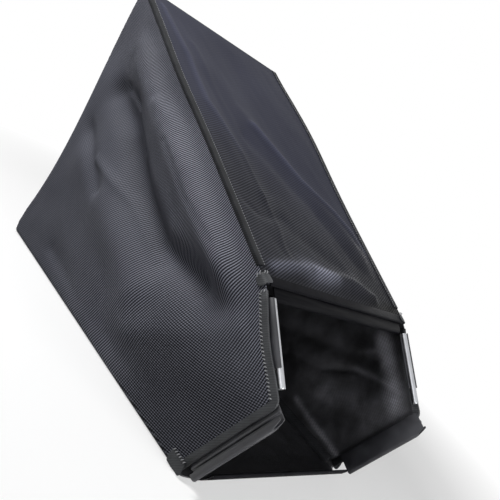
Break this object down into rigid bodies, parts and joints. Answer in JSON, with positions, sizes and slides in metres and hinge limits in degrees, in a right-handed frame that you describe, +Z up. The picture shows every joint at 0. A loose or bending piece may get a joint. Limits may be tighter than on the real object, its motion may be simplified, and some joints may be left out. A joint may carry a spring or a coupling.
{
  "type": "mower grass collection bag",
  "caption": "Soft woven bag with a tall rear and an open mouth, bound edges, moulded hook channels down the mouth's sides and across its top, and steel rods in clips.",
  "frame": {"origin": "on the ground under the middle of the bag's box", "axes": "+X to the bag's right seen from the mouth looking in, +Y from the mouth to the rear, +Z up"},
  "size_m": [0.379, 0.6662, 0.4605],
  "materials": {
    "woven_fabric": "black twill polyester with a faint sheen",
    "coated_fabric": "black coated cloth, smoother than the sides",
    "binding_tape": "dark grey woven tape with whip stitches",
    "black_plastic": "satin black extruded plastic",
    "zinc_steel": "bright zinc plated"
  },
  "bodies": {
    "root": {"left_panel": "woven_fabric", "right_panel": "woven_fabric", "top_panel": "woven_fabric", "rear_panel": "woven_fabric", "top_hem": "woven_fabric", "bottom_panel": "coated_fabric", "bottom_hem": "coated_fabric", "left_mouth_binding": "binding_tape", "right_mouth_binding": "binding_tape", "top_left_seam_band": "binding_tape", "top_right_seam_band": "binding_tape", "left_top_corner_tab": "binding_tape", "right_top_corner_tab": "binding_tape", "bottom_left_seam_tape": "binding_tape", "bottom_right_seam_tape": "binding_tape", "rear_left_seam_tape": "binding_tape", "rear_right_seam_tape": "binding_tape", "rear_bottom_seam_tape": "binding_tape", "rear_top_seam_tape": "binding_tape", "left_corner_patch": "binding_tape", "right_corner_patch": "binding_tape", "left_lower_channel": "black_plastic", "right_lower_channel": "black_plastic", "top_channel": "black_plastic", "left_rod_clip": "black_plastic", "right_rod_clip": "black_plastic", "left_rod": "zinc_steel", "right_rod": "zinc_steel"}
  },
  "joints": []
}
